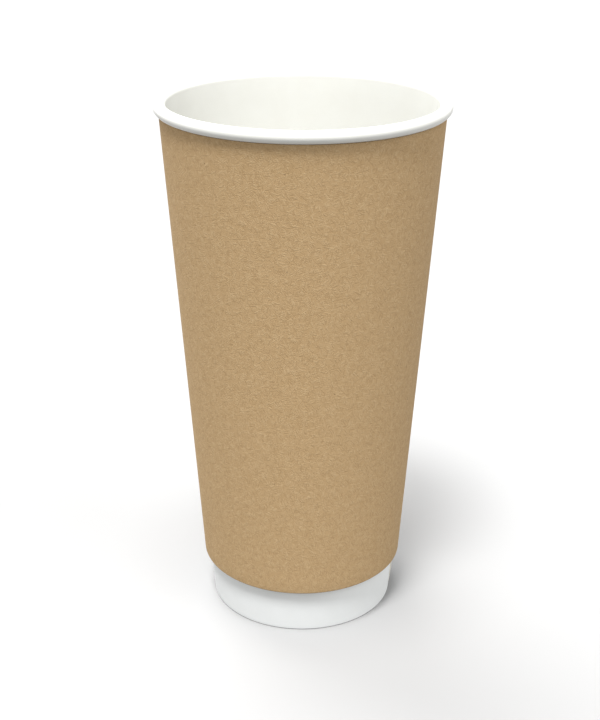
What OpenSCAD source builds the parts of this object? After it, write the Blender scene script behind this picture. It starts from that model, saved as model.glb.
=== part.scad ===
// Double-wall paper cup for hot drinks.
// A white board cup with a rolled rim and a folded foot, the base disc that its
// foot grips, and a kraft wrap held off it by an air gap.
// Millimetres, +Z up, origin on the table at the centre of the foot.
// The wrap's side seam faces +Y, and the cup's own seam faces +X.

/* [Cup] */
// Overall height, table to top of rim
cup_h = 169; // [120:1:200]
// Outside diameter of the rolled rim
rim_d = 90; // [80:0.5:100]
// Outside diameter of the foot
foot_d = 60; // [50:0.5:68]

/* [Inner cup] */
// Thickness of the white cup board
board_t = 0.45; // [0.3:0.05:0.6]
// Outside diameter of the rim's roll
roll_d = 3.8; // [3:0.1:4.6]
// Turn of the rim's roll, in degrees
roll_turn = 300; // [240:5:305]
// Width of board that overlaps at the side seam
lap_w = 7; // [4:0.5:12]
// Turn from the wrap's seam to the cup's own seam, in degrees
seam_turn = 90; // [0:5:180]

/* [Base disc] */
// Thickness of the disc's board
base_t = 0.4; // [0.3:0.05:0.6]
// Height of the disc's underside above the table
base_recess = 9; // [6:0.5:16]
// Bend radius where the disc turns down into its flange
base_bend_r = 0.9; // [0.5:0.1:2]
// Space between the disc and the top of the foot's folded hem
hem_space = 2; // [1.5:0.5:4]

/* [Kraft wrap] */
// Thickness of the kraft board
wrap_t = 0.4; // [0.3:0.05:0.6]
// Air gap between the two walls
air_gap = 1.5; // [1.2:0.1:2.5]
// Height of the wrap's lower edge above the table
wrap_z = 15.5; // [8:0.5:40]
// Width of kraft that overlaps at the wrap's side seam
wrap_lap_w = 9; // [5:0.5:14]
// Turn of the wrap's lower curl, in degrees
curl_turn = 270; // [180:5:290]

/* [Fit] */
// Glue line between pieces that are stuck together
glue_gap = 0.1; // [0.05:0.05:0.2]

/* [Hidden] */
$fn = 96;
// Angle between points round a bend, in degrees
bend_step = 12;
// Share of its thickness by which a seam's lap bites into the wall under it
lap_bite = 0.5;

// Side wall: its centreline is tangent to the inside of the rim's roll
roll_bend_r = (roll_d - board_t) / 2;
roll_centre = [(rim_d - roll_d) / 2, cup_h - roll_d / 2];
foot_point = [(foot_d - board_t) / 2, 0];
foot_to_roll = roll_centre - foot_point;
wall_angle = atan2(foot_to_roll.y, foot_to_roll.x) + asin(roll_bend_r / norm(foot_to_roll));
wall_up = [cos(wall_angle), sin(wall_angle)];
wall_in = [-sin(wall_angle), cos(wall_angle)];
// Angles that face square out of the wall, and square into the cup
facing_out = wall_angle - 90;
facing_in = wall_angle + 90;

// Foot: the wall folds in and up round the base disc's flange
fold_bend_r = board_t / 2 + glue_gap;
fold_z = board_t / 2 + fold_bend_r;
hem_inset = board_t + base_t + 2 * glue_gap;
hem_top = base_recess - hem_space;

// Base disc: its flange stands in the fold
base_z = base_recess + base_t / 2;
flange_inset = (board_t + base_t) / 2 + glue_gap;
flange_low = board_t + glue_gap;

// Kraft wrap: parallel to the wall, curled in at its foot, tucked under the roll
wrap_inset = -(board_t / 2 + air_gap + wrap_t / 2);
wrap_top = cup_h - roll_d - glue_gap;
curl_d = air_gap + wrap_t - board_t - glue_gap;
curl_bend_r = (curl_d - wrap_t) / 2;
curl_z = wrap_z + curl_d / 2;

// A point of the side wall's centreline at height z, moved towards the axis by inset
function wall_at(z, inset = 0) =
    let (start = foot_point + inset * wall_in)
    start + wall_up * (z - start.y) / wall_up.y;

// Points round a centre from one angle through a turn, anticlockwise if it is positive
function bend(centre, r, from, turn) =
    let (steps = ceil(abs(turn) / bend_step))
    [for (i = [0 : steps]) let (a = from + turn * i / steps) centre + r * [cos(a), sin(a)]];

// A vector's direction
function unit(v) = v / norm(v);

// How far, and which way, the board's left face lies from point i of its centreline
function left_face(path, i, t) =
    let (
        last = len(path) - 1,
        before = unit(path[max(i, 1)] - path[max(i, 1) - 1]),
        after = unit(path[min(i, last - 1) + 1] - path[min(i, last - 1)]),
        along = unit(before + after)
    )
    [-along.y, along.x] * t / 2 / (along * before);

// A sheet of board turned about the axis, from the centreline of its section
module turned_board(path, t) {
    left = [for (i = [0 : len(path) - 1]) path[i] + left_face(path, i, t)];
    right = [for (i = [len(path) - 1 : -1 : 0]) path[i] - left_face(path, i, t)];
    rotate_extrude() polygon(concat(left, right));
}

// The outer of the two edges that overlap at a side seam: it lies one board proud of the
// wall, and bites into it so that they are one sheet
module seam_lap(low, high, inset, t, width) {
    lap_inset = inset - t / 2 - (1 - lap_bite) * t / 2;
    intersection() {
        turned_board([wall_at(low, lap_inset), wall_at(high, lap_inset)], (1 + lap_bite) * t);
        translate([-width / 2, 0, 0]) cube([width, rim_d, cup_h]);
    }
}

// White cup: hem, folded foot, side wall and rolled rim are one sheet of board
module inner_cup() {
    color("white") {
        turned_board(concat(
            [wall_at(hem_top, hem_inset)],
            bend(wall_at(fold_z, hem_inset - fold_bend_r), fold_bend_r, facing_in, 270 - facing_in),
            bend(wall_at(fold_z, fold_bend_r), fold_bend_r, -90, 90 + facing_out),
            bend(roll_centre, roll_bend_r, facing_in, -roll_turn)
        ), board_t);
        rotate(-seam_turn) seam_lap(fold_z, cup_h - roll_d, 0, board_t, lap_w);
    }
}

// Base: a disc of board with its edge turned down into the foot's fold
module base_disc() {
    bend_centre = wall_at(base_z - base_bend_r, flange_inset + base_bend_r);
    color("whitesmoke") turned_board(concat(
        [[0, base_z]],
        bend(bend_centre, base_bend_r, 90, facing_out - 90),
        [wall_at(flange_low, flange_inset)]
    ), base_t);
}

// Kraft wrap: the straight wall, and the curl at its foot that spaces it off the cup
module kraft_wrap() {
    curl_centre = wall_at(curl_z, wrap_inset + curl_bend_r);
    color("#b8956c") {
        turned_board(concat(
            [wall_at(wrap_top, wrap_inset)],
            bend(curl_centre, curl_bend_r, facing_out, -curl_turn)
        ), wrap_t);
        seam_lap(curl_z, wrap_top, wrap_inset, wrap_t, wrap_lap_w);
    }
}

inner_cup();
base_disc();
kraft_wrap();
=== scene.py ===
"""Looks of a double-wall paper cup: a white board cup, its base disc and a kraft wrap.

Sizes are in millimetres and angles in degrees, unless a name says otherwise. The cup stands
on the floor with its axis on +Z. The wrap's glued seam faces +Y and the cup's own seam faces +X.
"""

import logging
import math
from dataclasses import dataclass
from enum import Enum

import bmesh
import bpy
import numpy as np
from mathutils import Matrix, Vector


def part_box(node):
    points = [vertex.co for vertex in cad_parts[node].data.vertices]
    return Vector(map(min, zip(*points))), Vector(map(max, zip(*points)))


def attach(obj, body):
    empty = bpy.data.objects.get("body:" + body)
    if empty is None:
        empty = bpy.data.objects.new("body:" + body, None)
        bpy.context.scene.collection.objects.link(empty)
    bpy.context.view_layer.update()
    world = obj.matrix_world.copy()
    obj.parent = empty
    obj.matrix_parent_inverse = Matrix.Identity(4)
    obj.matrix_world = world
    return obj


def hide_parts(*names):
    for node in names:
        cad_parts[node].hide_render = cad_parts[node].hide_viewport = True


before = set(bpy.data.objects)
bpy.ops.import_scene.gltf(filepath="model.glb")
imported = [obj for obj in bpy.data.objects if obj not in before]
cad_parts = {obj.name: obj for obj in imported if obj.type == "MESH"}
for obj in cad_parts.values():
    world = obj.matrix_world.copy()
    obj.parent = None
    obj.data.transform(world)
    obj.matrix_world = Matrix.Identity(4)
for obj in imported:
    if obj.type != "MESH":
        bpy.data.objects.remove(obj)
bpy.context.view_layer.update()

# One millimetre, in the scene's metres
MM = 0.001
LOG = logging.getLogger("paper_cup")


class Face(Enum):
    """The surfaces of a sheet, each with its own finish, by the place of its material."""

    LEFT = 0
    RIGHT = 1
    CUT = 2


class Region(Enum):
    """Stretches of a sheet's section."""

    HEM = "folded hem"
    FOLD = "fold at the foot"
    WALL = "side wall"
    ROLL = "rolled edge"
    DISC = "flat disc"
    BEND = "turned-down bend"
    FLANGE = "flange"


class Pattern(Enum):
    """How a finish lays its pattern on a piece."""

    SOLID = "through the piece"
    UNROLLED = "along the flat sheet, before it was wrapped"


# Materials


def linear(hex_colour: str) -> tuple[float, float, float, float]:
    """Turns an sRGB hex colour into a linear one.

    Args:
        hex_colour: The colour as "#rrggbb".

    Returns:
        Red, green, blue and an alpha of 1.
    """
    parts = [int(hex_colour[i : i + 2], 16) / 255 for i in (1, 3, 5)]
    red, green, blue = (p / 12.92 if p <= 0.04045 else ((p + 0.055) / 1.055) ** 2.4 for p in parts)
    return red, green, blue, 1.0


def add_node(
    tree: bpy.types.NodeTree,
    kind: str,
    inputs: dict[str | int, object] | None = None,
    **settings: object,
) -> bpy.types.Node:
    """Adds a node with its settings and links.

    Args:
        tree: The node tree that takes it.
        kind: The node's type, without the leading "ShaderNode".
        inputs: What each input gets: a socket to link, or a value.
        **settings: The node's own properties.

    Returns:
        The new node.
    """
    node = tree.nodes.new("ShaderNode" + kind)
    for name, value in settings.items():
        setattr(node, name, value)
    for name, value in (inputs or {}).items():
        if isinstance(value, bpy.types.NodeSocket):
            tree.links.new(value, node.inputs[name])
        else:
            node.inputs[name].default_value = value
    return node


# Places of the colour sockets on a Mix node set to colours
MIX_A, MIX_B, MIX_RESULT = 6, 7, 2


@dataclass(frozen=True)
class Finish:
    """A finish, whose subclasses draw its colour, grain and gloss.

    Attributes:
        name: What the material is and how its surface was made.
        colour: Its main colour.
        roughness: Its mean roughness.
        ior: Its index of refraction.
    """

    name: str
    colour: str
    roughness: float
    ior: float = 1.5

    def material(self) -> bpy.types.Material:
        """Makes the material, once for all the pieces that wear it.

        Returns:
            A material whose nodes draw this finish.
        """
        made = bpy.data.materials.get(self.name)
        if made is not None:
            return made
        material = bpy.data.materials.new(self.name)
        material.use_nodes = True
        tree = material.node_tree
        tree.nodes.clear()
        shader = add_node(tree, "BsdfPrincipled", {"IOR": self.ior, "Roughness": self.roughness})
        self.draw(tree, shader)
        add_node(tree, "OutputMaterial", {"Surface": shader.outputs["BSDF"]})
        return material

    def draw(self, tree: bpy.types.NodeTree, shader: bpy.types.Node) -> None:
        """Draws the finish's pattern.

        Args:
            tree: The material's nodes.
            shader: The shader that takes the pattern.
        """
        raise NotImplementedError


def sheet_millimetres(
    tree: bpy.types.NodeTree, pattern: Pattern, girth_r: float = 1.0
) -> bpy.types.NodeSocket:
    """Gives the place on a piece in millimetres.

    Args:
        tree: The material's nodes.
        pattern: Whether the place is in space, or along the sheet and up it.
        girth_r: The sheet's mean radius, for its length round the cup once it is unrolled.

    Returns:
        A vector socket. Round the cup, its zero is at the front and its break at the back seam.
    """
    place = add_node(tree, "TexCoord").outputs["Object"]
    scale = (1 / MM, -1 / MM, 1 / MM)
    scaled = add_node(tree, "VectorMath", {0: place, 1: scale}, operation="MULTIPLY").outputs[0]
    if pattern is Pattern.SOLID:
        return scaled
    axes = add_node(tree, "SeparateXYZ", {0: scaled}).outputs
    angle = add_node(tree, "Math", {0: axes["X"], 1: axes["Y"]}, operation="ARCTAN2").outputs[0]
    girth = add_node(tree, "Math", {0: angle, 1: girth_r}, operation="MULTIPLY").outputs[0]
    return add_node(tree, "CombineXYZ", {"X": girth, "Y": axes["Z"]}).outputs[0]


@dataclass(frozen=True)
class KraftBoard(Finish):
    """Unbleached kraft board, machine-finished and uncoated.

    A dry, matt brown with long pale and dark wood fibres lying every way, cloudy where the
    pulp settled unevenly, and a few flecks of bark. Real fibres are 0.03 mm wide: here they
    are drawn ten times as wide, so that they show.

    Attributes:
        pale_fibre: Colour of the pale fibres.
        dark_fibre: Colour of the dark fibres.
        fleck: Colour of the flecks of bark.
        cloud: Colour of the clouds.
        pale_mix: How far the colour goes to the pale fibre's, on one.
        dark_mix: How far it goes to the dark fibre's.
        fleck_mix: How far it goes to the fleck's.
        cloud_mix: How far it goes to the cloud's.
        girth_r: Mean radius of the sheet.
        fibre_l: Length of a fibre.
        fibre_w: Width of a fibre.
        fibre_range: Values of the noise from a fibre's edge to its middle.
        pale_turns: Angles at which the pale fibres lie.
        dark_turns: Angles at which the dark fibres lie.
        cloud_size: Size of a cloud.
        cloud_range: Values of the noise from a cloud's edge to its middle.
        fleck_spacing: Distance between the places that may hold a fleck.
        fleck_share: Share of those places that hold one.
        fleck_r: Radius of a fleck.
        fleck_core: Share of its radius that has its full colour.
        relief: Height of the fibres.
        relief_strength: How much of that height shows in the shading.
        roughness_steps: Change of the roughness between the pale fibres, and on one.
        gloss: Level of the reflection, which is low on dry fibres.
    """

    pale_fibre: str = "#d2b991"
    dark_fibre: str = "#92744f"
    fleck: str = "#59442e"
    cloud: str = "#af9065"
    pale_mix: float = 0.34
    dark_mix: float = 0.36
    fleck_mix: float = 0.6
    cloud_mix: float = 0.35
    girth_r: float = 37.0
    fibre_l: float = 2.6
    fibre_w: float = 0.3
    fibre_range: tuple[float, float] = (0.58, 0.8)
    pale_turns: tuple[float, ...] = (18.0, 74.0, -41.0)
    dark_turns: tuple[float, ...] = (-12.0, 52.0, -78.0)
    cloud_size: float = 5.0
    cloud_range: tuple[float, float] = (0.3, 0.8)
    fleck_spacing: float = 4.5
    fleck_share: float = 0.3
    fleck_r: float = 0.3
    fleck_core: float = 0.3
    relief: float = 0.05
    relief_strength: float = 0.45
    roughness_steps: tuple[float, float] = (0.04, -0.08)
    gloss: float = 0.25

    def fibres(
        self, tree: bpy.types.NodeTree, place: bpy.types.NodeSocket, turns: tuple[float, ...]
    ) -> bpy.types.NodeSocket:
        """Draws fibres that lie at several angles.

        Args:
            tree: The material's nodes.
            place: The place on the sheet.
            turns: The angles at which the fibres lie.

        Returns:
            A socket that is 1 on a fibre and 0 between them.
        """
        edge, middle = self.fibre_range
        drawn = None
        for turn in turns:
            turned = add_node(
                tree,
                "Mapping",
                {
                    "Vector": place,
                    "Rotation": (0, 0, math.radians(turn)),
                    "Location": (turn, -turn, 0),
                },
            )
            stretched = add_node(
                tree,
                "VectorMath",
                {0: turned.outputs[0], 1: (1 / self.fibre_l, 1 / self.fibre_w, 0)},
                operation="MULTIPLY",
            )
            noise = add_node(
                tree,
                "TexNoise",
                {"Vector": stretched.outputs[0], "Scale": 1.0, "Detail": 0.5, "Distortion": 0.2},
                noise_dimensions="2D",
            )
            line = add_node(
                tree,
                "MapRange",
                {"Value": noise.outputs[0], "From Min": edge, "From Max": middle},
                interpolation_type="SMOOTHSTEP",
            ).outputs[0]
            if drawn is None:
                drawn = line
            else:
                drawn = add_node(tree, "Math", {0: drawn, 1: line}, operation="MAXIMUM").outputs[0]
        return drawn

    def flecks(
        self, tree: bpy.types.NodeTree, place: bpy.types.NodeSocket
    ) -> bpy.types.NodeSocket:
        """Draws flecks of bark.

        Args:
            tree: The material's nodes.
            place: The place on the sheet.

        Returns:
            A socket that is 1 on a fleck and 0 between them.
        """
        cells = add_node(tree, "TexVoronoi", {"Vector": place, "Scale": 1 / self.fleck_spacing})
        chance = add_node(tree, "SeparateColor", {0: cells.outputs["Color"]}).outputs[0]
        chosen = add_node(tree, "Math", {0: chance, 1: self.fleck_share}, operation="LESS_THAN")
        edge = self.fleck_r / self.fleck_spacing
        spot = add_node(
            tree,
            "MapRange",
            {
                "Value": cells.outputs["Distance"],
                "From Min": edge,
                "From Max": self.fleck_core * edge,
            },
        )
        return add_node(
            tree, "Math", {0: spot.outputs[0], 1: chosen.outputs[0]}, operation="MULTIPLY"
        ).outputs[0]

    def draw(self, tree: bpy.types.NodeTree, shader: bpy.types.Node) -> None:
        """Draws clouds, fibres and flecks of bark, and a faint relief of fibres.

        Args:
            tree: The material's nodes.
            shader: The shader that takes the pattern.
        """
        place = sheet_millimetres(tree, Pattern.UNROLLED, self.girth_r)
        clouds = add_node(
            tree, "TexNoise", {"Vector": place, "Scale": 1 / self.cloud_size, "Detail": 4.0}
        )
        edge, middle = self.cloud_range
        cloudy = add_node(
            tree, "MapRange", {"Value": clouds.outputs[0], "From Min": edge, "From Max": middle}
        )
        pale = self.fibres(tree, place, self.pale_turns)
        dark = self.fibres(tree, place, self.dark_turns)

        colour = linear(self.colour)
        for mask, share, tint in (
            (cloudy.outputs[0], self.cloud_mix, self.cloud),
            (pale, self.pale_mix, self.pale_fibre),
            (dark, self.dark_mix, self.dark_fibre),
            (self.flecks(tree, place), self.fleck_mix, self.fleck),
        ):
            much = add_node(tree, "Math", {0: mask, 1: share}, operation="MULTIPLY").outputs[0]
            colour = add_node(
                tree, "Mix", {0: much, MIX_A: colour, MIX_B: linear(tint)}, data_type="RGBA"
            ).outputs[MIX_RESULT]
        tree.links.new(colour, shader.inputs["Base Color"])

        height = add_node(tree, "Math", {0: pale, 1: dark}, operation="SUBTRACT").outputs[0]
        bump = add_node(
            tree,
            "Bump",
            {"Height": height, "Strength": self.relief_strength, "Distance": self.relief * MM},
        )
        tree.links.new(bump.outputs[0], shader.inputs["Normal"])
        between, on_fibre = (self.roughness + step for step in self.roughness_steps)
        rough = add_node(
            tree, "MapRange", {"Value": pale, "To Min": between, "To Max": on_fibre}
        )
        tree.links.new(rough.outputs[0], shader.inputs["Roughness"])
        shader.inputs["Specular IOR Level"].default_value = self.gloss


@dataclass(frozen=True)
class WhiteBoard(Finish):
    """Bleached cup board, plain or with a skin of polyethylene.

    The extruded skin gives the drink side a soft satin gloss with a faint orange peel. The
    plain side is matt and a little cooler, with the board's cloudy formation just visible.

    Attributes:
        shade: Colour of the clouds.
        cloud_size: Size of a cloud.
        cloud_range: Values of the noise from a cloud's edge to its middle.
        cloud_mix: How far the colour goes to the cloud's.
        grain_size: Size of the surface grain.
        grain_relief: Height of the grain.
        grain_strength: How much of that height shows in the shading.
        roughness_swing: How far the roughness goes up and down with the clouds.
    """

    shade: str = "#d2d1ca"
    cloud_size: float = 7.0
    cloud_range: tuple[float, float] = (0.35, 0.8)
    cloud_mix: float = 0.4
    grain_size: float = 0.7
    grain_relief: float = 0.02
    grain_strength: float = 0.3
    roughness_swing: float = 0.05

    def draw(self, tree: bpy.types.NodeTree, shader: bpy.types.Node) -> None:
        """Draws the board's faint clouds and its surface grain.

        Args:
            tree: The material's nodes.
            shader: The shader that takes the pattern.
        """
        place = sheet_millimetres(tree, Pattern.SOLID)
        clouds = add_node(
            tree, "TexNoise", {"Vector": place, "Scale": 1 / self.cloud_size, "Detail": 4.0}
        ).outputs[0]
        edge, middle = self.cloud_range
        cloudy = add_node(
            tree,
            "MapRange",
            {"Value": clouds, "From Min": edge, "From Max": middle, "To Max": self.cloud_mix},
        )
        colour = add_node(
            tree,
            "Mix",
            {0: cloudy.outputs[0], MIX_A: linear(self.colour), MIX_B: linear(self.shade)},
            data_type="RGBA",
        )
        tree.links.new(colour.outputs[MIX_RESULT], shader.inputs["Base Color"])
        grain = add_node(
            tree, "TexNoise", {"Vector": place, "Scale": 1 / self.grain_size, "Detail": 2.0}
        )
        bump = add_node(
            tree,
            "Bump",
            {
                "Height": grain.outputs[0],
                "Strength": self.grain_strength,
                "Distance": self.grain_relief * MM,
            },
        )
        tree.links.new(bump.outputs[0], shader.inputs["Normal"])
        rough = add_node(
            tree,
            "MapRange",
            {
                "Value": clouds,
                "To Min": self.roughness - self.roughness_swing,
                "To Max": self.roughness + self.roughness_swing,
            },
        )
        tree.links.new(rough.outputs[0], shader.inputs["Roughness"])


@dataclass(frozen=True)
class CutEdge(Finish):
    """The sheared edge of board: bare fibre ends in thin plies, rough and a little darker.

    Attributes:
        ply: Colour of the darker fibre ends.
        fibre_size: Size of a bundle of fibre ends.
        relief: Height of the fibre ends.
        relief_strength: How much of that height shows in the shading.
    """

    ply: str = "#ddd6c8"
    fibre_size: float = 0.35
    relief: float = 0.04
    relief_strength: float = 0.5

    def draw(self, tree: bpy.types.NodeTree, shader: bpy.types.Node) -> None:
        """Draws the ends of the fibres.

        Args:
            tree: The material's nodes.
            shader: The shader that takes the pattern.
        """
        place = sheet_millimetres(tree, Pattern.SOLID)
        ends = add_node(
            tree, "TexNoise", {"Vector": place, "Scale": 1 / self.fibre_size, "Detail": 3.0}
        ).outputs[0]
        colour = add_node(
            tree,
            "Mix",
            {0: ends, MIX_A: linear(self.colour), MIX_B: linear(self.ply)},
            data_type="RGBA",
        )
        tree.links.new(colour.outputs[MIX_RESULT], shader.inputs["Base Color"])
        bump = add_node(
            tree,
            "Bump",
            {"Height": ends, "Strength": self.relief_strength, "Distance": self.relief * MM},
        )
        tree.links.new(bump.outputs[0], shader.inputs["Normal"])


@dataclass(frozen=True)
class MattPaint(Finish):
    """Matt paint on the studio's floor: one even colour with hardly any reflection.

    Attributes:
        gloss: Level of the reflection.
    """

    gloss: float = 0.1

    def draw(self, tree: bpy.types.NodeTree, shader: bpy.types.Node) -> None:
        """Sets the paint's colour and its faint reflection."""
        shader.inputs["Base Color"].default_value = linear(self.colour)
        shader.inputs["Specular IOR Level"].default_value = self.gloss


# Unbleached and unglazed: dry and matt, with its fibres to be seen
KRAFT = KraftBoard("kraft_board_uncoated", "#ba9c73", 0.86)
# Sheared: bare fibre ends, rougher and darker than the board's faces
KRAFT_EDGE = CutEdge("kraft_board_cut_edge", "#a58156", 0.92, ply="#866541")
# Extrusion-coated on the drink side: a satin sheen that runs over onto the rolled rim
COATED = WhiteBoard("cup_board_polyethylene_skin", "#d8d8d3", 0.36, 1.51)
# Bleached and left bare on the outside: matt and a little cooler
PLAIN = WhiteBoard(
    "cup_board_bleached_uncoated",
    "#eff1f0",
    0.74,
    shade="#e6e8e6",
    grain_size=0.5,
    grain_relief=0.04,
)
# Sheared: bare fibre ends, warmer than the board's faces
WHITE_EDGE = CutEdge("cup_board_cut_edge", "#efece4", 0.9)
# Rolled on: even and without shine, so that it reads as a plain ground under strong light
FLOOR = MattPaint("matt_white_floor", "#9b9b9b", 0.9)


# Sections of the sheets

# Angle between points round a bend
BEND_STEP = 9.0
# Points nearer to each other than this are one point
SAME_POINT = 1e-4


@dataclass(frozen=True)
class Stretch:
    """One stretch of a sheet's section, as points of its centreline.

    Attributes:
        region: What the stretch is.
        points: Radius and height of each point.
    """

    region: Region
    points: np.ndarray


def arc(region: Region, centre: np.ndarray, radius: float, start: float, turn: float) -> Stretch:
    """Makes a round stretch.

    Args:
        region: What the stretch is.
        centre: The bend's centre.
        radius: The bend's radius.
        start: The angle where it starts.
        turn: How far it turns, anticlockwise if positive.

    Returns:
        The stretch, with a point every few degrees.
    """
    steps = math.ceil(abs(turn) / BEND_STEP)
    angles = np.radians(np.linspace(start, start + turn, steps + 1))
    return Stretch(region, centre + radius * np.stack([np.cos(angles), np.sin(angles)], axis=1))


def straight(region: Region, start: np.ndarray, end: np.ndarray, rows: int) -> Stretch:
    """Makes a straight stretch.

    Args:
        region: What the stretch is.
        start: Its first point.
        end: Its last point.
        rows: How many steps it has.

    Returns:
        The stretch, with both its ends.
    """
    return Stretch(region, np.linspace(start, end, rows + 1))


def joined(stretches: list[Stretch]) -> tuple[np.ndarray, np.ndarray]:
    """Joins stretches end to end.

    Args:
        stretches: The stretches, each starting where the one before it ends.

    Returns:
        The points of the path, and the region of each.
    """
    points = np.vstack([s.points for s in stretches])
    regions = np.array([s.region for s in stretches for _ in s.points])
    repeat = np.linalg.norm(np.diff(points, axis=0), axis=1) < SAME_POINT
    keep = np.concatenate([[True], ~repeat])
    return points[keep], regions[keep]


def smooth(value: np.ndarray, low: float, high: float) -> np.ndarray:
    """Rises smoothly from 0 at low to 1 at high, or falls if high is the lower one."""
    share = np.clip((value - low) / (high - low), 0, 1)
    return share * share * (3 - 2 * share)


@dataclass(frozen=True)
class CupWall:
    """The side wall's centreline, from the foot to the inside of the rim's roll.

    Attributes:
        height: Overall height of the cup.
        rim_r: Outside radius of the rim.
        foot_r: Outside radius of the foot.
        board: Thickness of the cup's board.
        roll_d: Outside diameter of the rim's roll.
    """

    height: float
    rim_r: float
    foot_r: float = 30.0
    board: float = 0.45
    roll_d: float = 3.8

    @property
    def roll_bend_r(self) -> float:
        """Radius of the roll, at the middle of the board."""
        return (self.roll_d - self.board) / 2

    @property
    def roll_centre(self) -> np.ndarray:
        """Centre of the rim's roll."""
        return np.array([self.rim_r - self.roll_d / 2, self.height - self.roll_d / 2])

    @property
    def foot_point(self) -> np.ndarray:
        """Where the wall meets the floor."""
        return np.array([self.foot_r - self.board / 2, 0.0])

    @property
    def lean(self) -> float:
        """Finds the lean of the wall, such that it runs into the roll smoothly.

        Returns:
            Its angle from level.
        """
        reach = self.roll_centre - self.foot_point
        rise = math.atan2(reach[1], reach[0])
        return math.degrees(rise + math.asin(self.roll_bend_r / np.hypot(*reach)))

    def at(self, z: float, inset: float = 0.0) -> np.ndarray:
        """Finds a point of the wall.

        Args:
            z: Its height.
            inset: How far it lies inside the wall's centreline, square to the wall.

        Returns:
            Its radius and height.
        """
        lean = math.radians(self.lean)
        up = np.array([math.cos(lean), math.sin(lean)])
        start = self.foot_point + inset * np.array([-up[1], up[0]])
        return start + up * (z - start[1]) / up[1]


@dataclass(frozen=True)
class LappedSeam:
    """A glued side seam: one edge of the sheet climbs over the other.

    Attributes:
        width: Width of the overlap.
        board: Thickness of the sheet.
        facing: The way the seam faces, clockwise from +Y as seen from above.
        climb_w: Width over which the upper edge climbs onto the lower one.
        cut_w: Width of a cut edge, seen square to the sheet.
        climb_columns: How many columns of vertices stand on the climb.
        lap_columns: How many columns stand on the overlap.
    """

    width: float
    board: float
    facing: float = 0.0
    climb_w: float = 1.4
    cut_w: float = 0.03
    climb_columns: int = 7
    lap_columns: int = 8

    @property
    def lower_cut(self) -> int:
        """The column whose faces are the cut edge of the lower layer."""
        return self.climb_columns - 1

    @property
    def upper_cut(self) -> int:
        """The column whose faces are the cut edge of the upper layer."""
        return self.climb_columns + self.lap_columns - 1

    def stations(self) -> np.ndarray:
        """Gives the places across the seam, from its centre, where columns of vertices stand.

        Returns:
            The climb up to the lower cut edge, the overlap, and the foot of the upper cut edge.
        """
        half = self.width / 2
        climb = np.linspace(-half - self.climb_w, -half, self.climb_columns)
        lap = np.linspace(-half + self.cut_w, half, self.lap_columns)
        return np.concatenate([climb, lap, [half + self.cut_w]])

    def climb(self, across: np.ndarray) -> np.ndarray:
        """Gives how far the upper edge has climbed at each place across the seam."""
        return self.board * smooth(across, -self.width / 2 - self.climb_w, -self.width / 2)

    def outer_face(self) -> np.ndarray:
        """Gives how far the outer face stands out at each station."""
        across = self.stations()
        return np.where(across <= self.width / 2, self.climb(across), 0)

    def inner_face(self) -> np.ndarray:
        """Gives how far the inner face draws back at each station, beside the lower cut edge."""
        across = self.stations()
        return np.where(across <= -self.width / 2, self.climb(across), 0)


# Pieces


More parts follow.
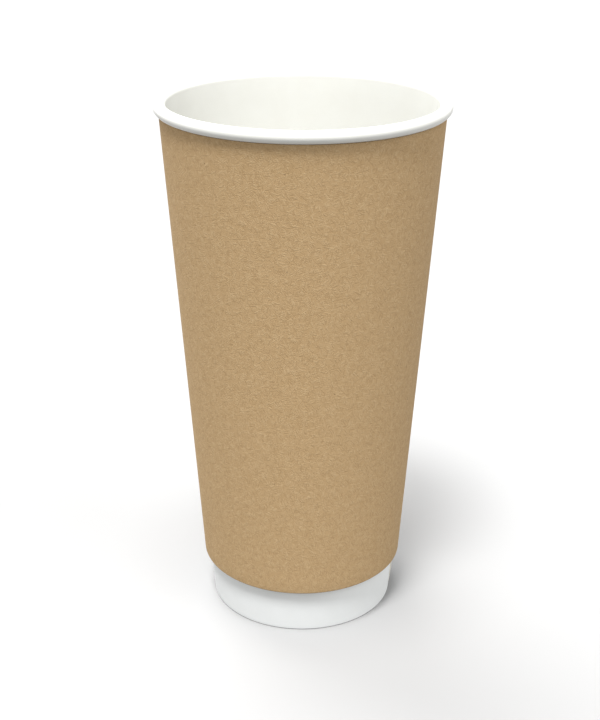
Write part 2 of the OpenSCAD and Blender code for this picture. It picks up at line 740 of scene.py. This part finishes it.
@dataclass
class TurnedSheet:
    """A sheet of board turned about the cup's axis, as one closed mesh.

    The left face is on the left of the section's path. Subclasses give the path, the seam's
    reach and the relief.

    Attributes:
        wall: The cup's side wall.
        node: The solid that this sheet stands for.
        slot: The record's material slot; not used.
        board: Thickness of the sheet.
        columns: How many columns of vertices go round it, beside those of the seam.
        finishes: The finish of each face.
        seam: Its side seam, if it has one.
        outer_is_left: Whether the left face is the one that faces out of the cup.
        sharp_angle: Angle between two faces from which their edge is drawn sharp.
    """

    wall: CupWall
    node: str
    slot: str
    board: float
    columns: int
    finishes: dict[Face, Finish]
    seam: LappedSeam | None = None
    outer_is_left: bool = False
    sharp_angle: float = 38.0

    def stretches(self) -> list[Stretch]:
        """Gives the stretches of the section, in order."""
        raise NotImplementedError

    def seam_share(self, regions: np.ndarray, path: np.ndarray) -> np.ndarray:
        """Gives how much of the seam's step shows: all of it, unless a piece presses it flat.

        Args:
            regions: The region of each point of the path.
            path: Points of the centreline.

        Returns:
            A share for each point of the path.
        """
        return np.ones(len(path))

    def relief(self, regions: np.ndarray, path: np.ndarray, angles: np.ndarray) -> np.ndarray:
        """Gives the sheet's fine shape beside the seam: flat, unless a piece has one.

        Args:
            regions: The region of each point of the path.
            path: Points of the centreline.
            angles: The angle of each column at each point.

        Returns:
            How far the sheet moves to the left, by point of the path and by column.
        """
        return np.zeros_like(angles)

    def left_of(self, path: np.ndarray) -> np.ndarray:
        """Finds the way from each point to a face that lies 1 mm to the left.

        Args:
            path: Points of the centreline.

        Returns:
            A vector at each point, longer at a corner, so that the sheet keeps its thickness.
        """
        along = np.diff(path, axis=0)
        along /= np.linalg.norm(along, axis=1, keepdims=True)
        before = np.vstack([along[:1], along])
        after = np.vstack([along, along[-1:]])
        mean = before + after
        mean /= np.linalg.norm(mean, axis=1, keepdims=True)
        stretch = np.sum(mean * before, axis=1, keepdims=True)
        return np.stack([-mean[:, 1], mean[:, 0]], axis=1) / stretch

    def column_angles(self, path: np.ndarray) -> np.ndarray:
        """Places the columns of vertices at each point of the path.

        Args:
            path: Points of the centreline.

        Returns:
            Angles from +Y, in radians, one row for each point: those of the seam, which keep
            their distance from its centre, then the rest, evenly.
        """
        if self.seam is None:
            even = np.linspace(0, 2 * math.pi, self.columns, endpoint=False)
            return np.tile(even, (len(path), 1))
        across = np.arcsin(self.seam.stations()[None, :] / path[:, :1])
        share = np.arange(1, self.columns + 1) / (self.columns + 1)
        span = 2 * math.pi + across[:, :1] - across[:, -1:]
        angles = np.hstack([across, across[:, -1:] + span * share[None, :]])
        return angles + math.radians(self.seam.facing)

    def seam_steps(
        self, regions: np.ndarray, path: np.ndarray, columns: int
    ) -> tuple[np.ndarray, np.ndarray]:
        """Finds how far the seam moves each face.

        Args:
            regions: The region of each point of the path.
            path: Points of the centreline.
            columns: How many columns there are in all.

        Returns:
            Moves to the left, of the left face and of the right one, by point and by column.
        """
        left = np.zeros((len(path), columns))
        right = np.zeros_like(left)
        if self.seam is not None:
            share = self.seam_share(regions, path)[:, None]
            stations = len(self.seam.stations())
            outer = share * self.seam.outer_face()
            inner = share * self.seam.inner_face()
            left[:, :stations] = outer if self.outer_is_left else -inner
            right[:, :stations] = inner if self.outer_is_left else -outer
        return left, right

    def build(self) -> bpy.types.Object:
        """Builds the sheet's mesh and dresses each face.

        Returns:
            The piece, in place, standing for its solid.
        """
        path, regions = joined(self.stretches())
        angles = self.column_angles(path)
        left, right = self.seam_steps(regions, path, angles.shape[1])
        moved = self.relief(regions, path, angles)
        toward_left = self.left_of(path)
        half = self.board / 2
        points = np.concatenate(
            [
                self.turned(path, toward_left, angles, half + left + moved),
                self.turned(path, toward_left, angles, -half + right + moved)[::-1],
            ]
        )
        piece = self.mesh_object(points, len(path))
        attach(piece, "root")
        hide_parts(self.node)
        return piece

    def turned(
        self, path: np.ndarray, toward_left: np.ndarray, angles: np.ndarray, offset: np.ndarray
    ) -> np.ndarray:
        """Turns one face of the sheet about the axis.

        Args:
            path: Points of the centreline.
            toward_left: The direction of the left face at each point.
            angles: The angle of each column at each point.
            offset: How far the face lies from the centreline, at each point and column.

        Returns:
            Points in metres, by point of the path and by column.
        """
        radius = np.maximum(path[:, :1] + toward_left[:, :1] * offset, 0)
        height = path[:, 1:] + toward_left[:, 1:] * offset
        return np.stack([radius * np.sin(angles), radius * np.cos(angles), height], axis=2) * MM

    def face_kinds(self, loop: int, columns: int, rows: int) -> np.ndarray:
        """Says which surface each of the mesh's faces belongs to.

        Args:
            loop: How many points there are round the section.
            columns: How many columns there are round the cup.
            rows: How many points of the section are on the left face.

        Returns:
            The value of a Face, by point of the section and by column.
        """
        kinds = np.full((loop, columns), Face.RIGHT.value)
        kinds[: rows - 1] = Face.LEFT.value
        kinds[[rows - 1, -1]] = Face.CUT.value
        if self.seam is not None:
            inner, outer = Face.LEFT, Face.RIGHT
            if self.outer_is_left:
                inner, outer = outer, inner
            for face, column in ((inner, self.seam.lower_cut), (outer, self.seam.upper_cut)):
                kinds[kinds[:, column] == face.value, column] = Face.CUT.value
        return kinds

    def mesh_object(self, points: np.ndarray, rows: int) -> bpy.types.Object:
        """Joins the faces into one closed mesh.

        Args:
            points: The sheet's points, round its section and round the cup.
            rows: How many points of the section are on the left face.

        Returns:
            The new object, with its materials.
        """
        loop, columns = points.shape[:2]
        ring = np.arange(loop)[:, None]
        column = np.arange(columns)[None, :]
        next_ring = (ring + 1) % loop
        next_column = (column + 1) % columns
        quads = np.stack(
            [
                ring * columns + column,
                ring * columns + next_column,
                next_ring * columns + next_column,
                next_ring * columns + column,
            ],
            axis=2,
        )
        kinds = self.face_kinds(loop, columns, rows)
        mesh = bpy.data.meshes.new(self.node + "_sheet")
        mesh.from_pydata(points.reshape(-1, 3).tolist(), [], quads.reshape(-1, 4).tolist())
        mesh.polygons.foreach_set("material_index", kinds.reshape(-1).astype(np.int32))
        mesh.polygons.foreach_set("use_smooth", np.ones(loop * columns, dtype=bool))
        for face in Face:
            mesh.materials.append(self.finishes[face].material())
        self.tidy(mesh)
        mesh.set_sharp_from_angle(angle=math.radians(self.sharp_angle))
        piece = bpy.data.objects.new(self.node + "_sheet", mesh)
        bpy.context.scene.collection.objects.link(piece)
        return piece

    def tidy(self, mesh: bpy.types.Mesh) -> None:
        """Merges the points that meet on the axis, and turns every face outward.

        Args:
            mesh: The closed mesh.
        """
        shell = bmesh.new()
        shell.from_mesh(mesh)
        bmesh.ops.remove_doubles(shell, verts=shell.verts, dist=SAME_POINT * MM)
        loose = [edge for edge in shell.edges if edge.is_wire]
        bmesh.ops.delete(shell, geom=loose, context="EDGES")
        bmesh.ops.recalc_face_normals(shell, faces=shell.faces)
        shell.to_mesh(mesh)
        shell.free()


@dataclass
class InnerCup(TurnedSheet):
    """The white cup: hem, folded foot, side wall and rolled rim are one sheet.

    Attributes:
        base_board: Thickness of the base disc that the fold grips.
        glue: Glue line between the fold and the disc.
        hem_top: Height of the hem's cut edge.
        hem_rows: How many steps of vertices go up the hem.
        wall_rows: How many steps go up the wall.
        roll_turn: Turn of the rim's roll.
        seam_rise: Heights between which the seam rises out of its pressed foot.
        seam_press: Share of the seam's step that rolling the rim presses away.
        press_depths: Depths below the rim's top between which it does so.
        ridges: Ridges that the crimping wheel leaves round the hem.
        ridge_h: Height of a ridge, from its mean.
        ridge_rise: Heights between which the ridges rise.
        ridge_fall: Depths below the hem's cut edge between which they fade out.
    """

    base_board: float = 0.4
    glue: float = 0.1
    hem_top: float = 7.0
    hem_rows: int = 8
    wall_rows: int = 24
    roll_turn: float = 300.0
    seam_rise: tuple[float, float] = (1.0, 6.0)
    seam_press: float = 0.65
    press_depths: tuple[float, float] = (11.0, 4.0)
    ridges: int = 120
    ridge_h: float = 0.06
    ridge_rise: tuple[float, float] = (1.0, 1.8)
    ridge_fall: tuple[float, float] = (0.3, 1.2)

    def stretches(self) -> list[Stretch]:
        """Gives the section from the hem's cut edge to the end of the roll.

        Returns:
            Hem, fold, wall and roll.
        """
        wall = self.wall
        facing_in = wall.lean + 90
        fold_r = self.board / 2 + self.glue
        fold_z = self.board / 2 + fold_r
        hem_inset = self.board + self.base_board + 2 * self.glue
        fold_centre = wall.at(fold_z, hem_inset - fold_r)
        inner_fold = arc(Region.FOLD, fold_centre, fold_r, facing_in, 180 - wall.lean)
        outer_fold = arc(Region.FOLD, wall.at(fold_z, fold_r), fold_r, -90, wall.lean)
        roll = arc(Region.ROLL, wall.roll_centre, wall.roll_bend_r, facing_in, -self.roll_turn)
        hem_edge = wall.at(self.hem_top, hem_inset)
        return [
            straight(Region.HEM, hem_edge, inner_fold.points[0], self.hem_rows),
            inner_fold,
            outer_fold,
            straight(Region.WALL, outer_fold.points[-1], roll.points[0], self.wall_rows),
            roll,
        ]

    def seam_share(self, regions: np.ndarray, path: np.ndarray) -> np.ndarray:
        """Gives the whole seam on the wall, pressed thin on the roll and flat at the foot.

        Args:
            regions: The region of each point of the path.
            path: Points of the centreline.

        Returns:
            A share for each point of the path.
        """
        height = path[:, 1]
        depth = self.wall.height - height
        risen = smooth(height, *self.seam_rise)
        thinned = 1 - self.seam_press * smooth(depth, *self.press_depths)
        return np.where((regions == Region.WALL) | (regions == Region.ROLL), risen * thinned, 0)

    def relief(self, regions: np.ndarray, path: np.ndarray, angles: np.ndarray) -> np.ndarray:
        """Gives the crimped ridges round the hem.

        Args:
            regions: The region of each point of the path.
            path: Points of the centreline.
            angles: The angle of each column at each point.

        Returns:
            How far the sheet moves to the left, by point of the path and by column.
        """
        height = path[:, 1]
        depth = self.hem_top - height
        crimped = smooth(height, *self.ridge_rise) * smooth(depth, *self.ridge_fall)
        share = np.where(regions == Region.HEM, crimped, 0)[:, None]
        return self.ridge_h * share * np.cos(self.ridges * angles)


@dataclass
class BaseDisc(TurnedSheet):
    """The base: a disc whose edge is turned down into the foot's fold.

    Attributes:
        top_z: Height of the disc's upper face.
        glue: Glue line between the flange and the fold.
        bend_r: Radius of the turned-down bend.
        disc_rows: How many steps of vertices go from the axis to the bend.
        flange_rows: How many steps go down the flange.
        dish: How far the middle sags below the rim of the disc.
        dish_share: Share of the disc's radius that sags.
        pleat_h: Height of the small pleats that the bend gathers.
        pleat_rise: Distances in from the edge between which the pleats rise.
        pleats: Pleats round the bend, as waves that together look uneven.
    """

    top_z: float = 9.4
    glue: float = 0.1
    bend_r: float = 0.9
    disc_rows: int = 26
    flange_rows: int = 6
    dish: float = 0.3
    dish_share: float = 0.9
    pleat_h: float = 0.035
    pleat_rise: tuple[float, float] = (6.0, 1.5)
    pleats: tuple[int, ...] = (43, 61, 88)

    def stretches(self) -> list[Stretch]:
        """Gives the section from the axis to the end of the flange.

        Returns:
            Disc, bend and flange.
        """
        wall = self.wall
        middle_z = self.top_z - self.board / 2
        inset = (wall.board + self.board) / 2 + self.glue
        centre = wall.at(middle_z - self.bend_r, inset + self.bend_r)
        bend = arc(Region.BEND, centre, self.bend_r, 90, wall.lean - 180)
        flange_end = wall.at(wall.board + self.glue, inset)
        return [
            straight(Region.DISC, np.array([0.0, middle_z]), bend.points[0], self.disc_rows),
            bend,
            straight(Region.FLANGE, bend.points[-1], flange_end, self.flange_rows),
        ]

    def relief(self, regions: np.ndarray, path: np.ndarray, angles: np.ndarray) -> np.ndarray:
        """Gives the sag of the disc and the pleats at its bend.

        Args:
            regions: The region of each point of the path.
            path: Points of the centreline.
            angles: The angle of each column at each point.

        Returns:
            How far the sheet moves to the left, by point of the path and by column.
        """
        radius = path[:, :1]
        edge_r = radius.max()
        on_disc = np.where(regions == Region.DISC, 1, 0)[:, None]
        off_flange = np.where(regions == Region.FLANGE, 0, 1)[:, None]
        sag = -self.dish * on_disc * smooth(radius, self.dish_share * edge_r, 0)
        gathered = off_flange * smooth(edge_r - radius, *self.pleat_rise)
        waves = sum(np.cos(n * angles + n) for n in self.pleats)
        return sag + self.pleat_h * gathered * waves


@dataclass
class KraftWrap(TurnedSheet):
    """The kraft outer wall, with its lower edge curled in against the cup.

    Attributes:
        low_z: Height of the curl's lowest point.
        top_z: Height of the edge that is tucked under the rim.
        air_gap: Gap between the two walls.
        glue: Room between the curl and the cup's seam.
        curl_turn: Turn of the curl.
        wall_rows: How many steps of vertices go up the wall.
        press_steps: Steps round the curl over which the seam is pressed flat.
    """

    low_z: float = 15.5
    top_z: float = 165.1
    air_gap: float = 1.5
    glue: float = 0.1
    curl_turn: float = 270.0
    wall_rows: int = 40
    press_steps: int = 12

    def stretches(self) -> list[Stretch]:
        """Gives the section from the tucked edge down to the end of the curl.

        Returns:
            Wall and curl.
        """
        wall = self.wall
        inset = -(wall.board / 2 + self.air_gap + self.board / 2)
        curl_d = self.air_gap + self.board - wall.board - self.glue
        curl_r = (curl_d - self.board) / 2
        centre = wall.at(self.low_z + curl_d / 2, inset + curl_r)
        curl = arc(Region.ROLL, centre, curl_r, wall.lean - 90, -self.curl_turn)
        top = wall.at(self.top_z, inset)
        return [straight(Region.WALL, top, curl.points[0], self.wall_rows), curl]

    def seam_share(self, regions: np.ndarray, path: np.ndarray) -> np.ndarray:
        """Gives the whole seam on the wall, pressed flat where the edge curls in."""
        past_wall = np.cumsum(regions == Region.ROLL)
        return smooth(past_wall.astype(float), self.press_steps, 0)


# Stage


@dataclass(frozen=True)
class SoftLight:
    """A distant soft light, which reaches the whole floor evenly.

    Attributes:
        name: The light's name.
        azimuth: The way it comes from, clockwise from the camera's side as seen from above.
        elevation: Its height above level.
        strength: Its power, in watts for each square metre that faces it.
        spread: How wide it looks from the cup, which softens its shadows.
    """

    name: str
    azimuth: float
    elevation: float
    strength: float
    spread: float

    def build(self) -> None:
        """Hangs the light and turns it to the cup."""
        data = bpy.data.lights.new(self.name, "SUN")
        data.energy = self.strength
        data.angle = math.radians(self.spread)
        light = bpy.data.objects.new(self.name, data)
        turn = math.radians(self.azimuth)
        rise = math.radians(self.elevation)
        toward = Vector(
            (-math.sin(turn) * math.cos(rise), -math.cos(turn) * math.cos(rise), math.sin(rise))
        )
        light.rotation_euler = toward.to_track_quat("Z", "Y").to_euler()
        light.location = toward
        bpy.context.scene.collection.objects.link(light)


@dataclass(frozen=True)
class Studio:
    """A plain pale floor that sweeps up all round, under soft light from above.

    The light that the floor would throw back onto the cup is left out, and the even light from
    all round stands in for it, at a strength that suits the shade in the photograph.

    Attributes:
        floor_r: Radius of the flat floor.
        sweep_r: Radius of the bend that rises round it.
        sweep_rows: How many steps the bend has.
        columns: How many columns of vertices go round the floor.
        paint: The floor's finish.
        sky: Strength of the even light from all round.
        lights: The lights.
    """

    floor_r: float = 5000.0
    sweep_r: float = 2000.0
    sweep_rows: int = 12
    columns: int = 96
    paint: Finish = FLOOR
    sky: float = 0.52
    lights: tuple[SoftLight, ...] = (
        SoftLight("overhead", azimuth=20.0, elevation=80.0, strength=2.5, spread=24.0),
        SoftLight("key", azimuth=20.0, elevation=68.0, strength=3.25, spread=15.0),
        SoftLight("left_fill", azimuth=72.0, elevation=40.0, strength=0.35, spread=40.0),
        SoftLight("right_fill", azimuth=-60.0, elevation=42.0, strength=1.0, spread=40.0),
        SoftLight("back_fill", azimuth=150.0, elevation=50.0, strength=2.8, spread=40.0),
    )

    def lay_floor(self) -> None:
        """Lays the floor, whose own light stays off the cup."""
        rise = np.linspace(0, math.pi / 2, self.sweep_rows + 1)[:, None]
        turn = np.linspace(0, 2 * math.pi, self.columns, endpoint=False)[None, :]
        radius = self.floor_r + self.sweep_r * np.sin(rise)
        height = self.sweep_r * (1 - np.cos(rise)) + np.zeros_like(turn)
        points = np.stack([radius * np.cos(turn), radius * np.sin(turn), height], axis=2) * MM
        faces = [list(range(self.columns))]
        for start in range(0, self.sweep_rows * self.columns, self.columns):
            above = start + self.columns
            for i in range(self.columns):
                j = (i + 1) % self.columns
                faces.append([start + i, above + i, above + j, start + j])
        mesh = bpy.data.meshes.new("floor")
        mesh.from_pydata(points.reshape(-1, 3).tolist(), [], faces)
        mesh.polygons.foreach_set("use_smooth", np.ones(len(faces), dtype=bool))
        mesh.materials.append(self.paint.material())
        floor = bpy.data.objects.new("floor", mesh)
        floor.visible_diffuse = False
        bpy.context.scene.collection.objects.link(floor)

    def build(self) -> None:
        """Lays the floor, lights the scene and sets how colours are shown."""
        self.lay_floor()
        world = bpy.data.worlds.new("white_studio")
        world.use_nodes = True
        background = world.node_tree.nodes["Background"]
        background.inputs["Color"].default_value = (1, 1, 1, 1)
        background.inputs["Strength"].default_value = self.sky
        bpy.context.scene.world = world
        for light in self.lights:
            light.build()
        bpy.context.scene.view_settings.view_transform = "Standard"
        bpy.context.scene.view_settings.look = "None"


@dataclass(frozen=True)
class PhotoCamera:
    """The camera, at the photograph's viewing angle.

    Attributes:
        back: How far it stands from the cup's axis, towards -Y.
        up: Its height above the floor.
        pitch: How far it looks down.
        roll: How far it leans to the left.
        focal_px: Its focal length, in pixels of the photograph.
        centre_px: Where its axis meets the photograph, in pixels from the top left corner.
        frame_px: Width and height of the photograph.
        sensor: Length of the sensor's long side.
        nearest: Distance from which it sees things.
    """

    back: float = 393.2
    up: float = 251.2
    pitch: float = 22.36
    roll: float = 0.15
    focal_px: float = 1315.8
    centre_px: tuple[float, float] = (302.3, 342.4)
    frame_px: tuple[int, int] = (600, 720)
    sensor: float = 36.0
    nearest: float = 10.0

    def build(self) -> None:
        """Places the camera and makes it the scene's own."""
        data = bpy.data.cameras.new("photo_camera")
        width, height = self.frame_px
        long_side = max(width, height)
        data.sensor_width = self.sensor
        data.lens = self.focal_px / long_side * self.sensor
        data.shift_x = (width / 2 - self.centre_px[0]) / long_side
        data.shift_y = (self.centre_px[1] - height / 2) / long_side
        data.clip_start = self.nearest * MM
        camera = bpy.data.objects.new("photo_camera", data)
        tilt = Matrix.Rotation(math.radians(90 - self.pitch), 4, "X")
        lean = Matrix.Rotation(math.radians(self.roll), 4, "Z")
        place = Matrix.Translation(Vector((0, -self.back, self.up)) * MM)
        camera.matrix_world = place @ tilt @ lean
        bpy.context.scene.collection.objects.link(camera)
        bpy.context.scene.camera = camera


def main() -> None:
    """Builds the cup, the studio and the camera."""
    logging.basicConfig(level=logging.INFO, format="%(name)s: %(message)s")
    cup_low, cup_high = (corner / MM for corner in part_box("inner_cup"))
    base_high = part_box("base_disc")[1] / MM
    wrap_low, wrap_high = (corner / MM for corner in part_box("kraft_wrap"))
    wall = CupWall(height=cup_high.z - cup_low.z, rim_r=cup_high.x)
    base_board = 0.4
    wrap_board = 0.4
    PhotoCamera().build()
    Studio().build()
    sheets = [
        InnerCup(
            wall,
            node="inner_cup",
            slot="white_board",
            board=wall.board,
            columns=480,
            finishes={Face.LEFT: COATED, Face.RIGHT: PLAIN, Face.CUT: WHITE_EDGE},
            seam=LappedSeam(width=7.0, board=wall.board, facing=90.0),
            base_board=base_board,
        ),
        BaseDisc(
            wall,
            node="base_disc",
            slot="base_board",
            board=base_board,
            columns=360,
            finishes={Face.LEFT: COATED, Face.RIGHT: PLAIN, Face.CUT: WHITE_EDGE},
            top_z=base_high.z,
        ),
        KraftWrap(
            wall,
            node="kraft_wrap",
            slot="kraft_board",
            board=wrap_board,
            columns=360,
            finishes={Face.LEFT: KRAFT, Face.RIGHT: KRAFT, Face.CUT: KRAFT_EDGE},
            seam=LappedSeam(width=9.0, board=wrap_board),
            outer_is_left=True,
            low_z=wrap_low.z,
            top_z=wrap_high.z,
        ),
    ]
    for sheet in sheets:
        piece = sheet.build()
        LOG.info("%s stands for %s, %d faces", piece.name, sheet.node, len(piece.data.polygons))


if __name__ == "__main__":
    main()
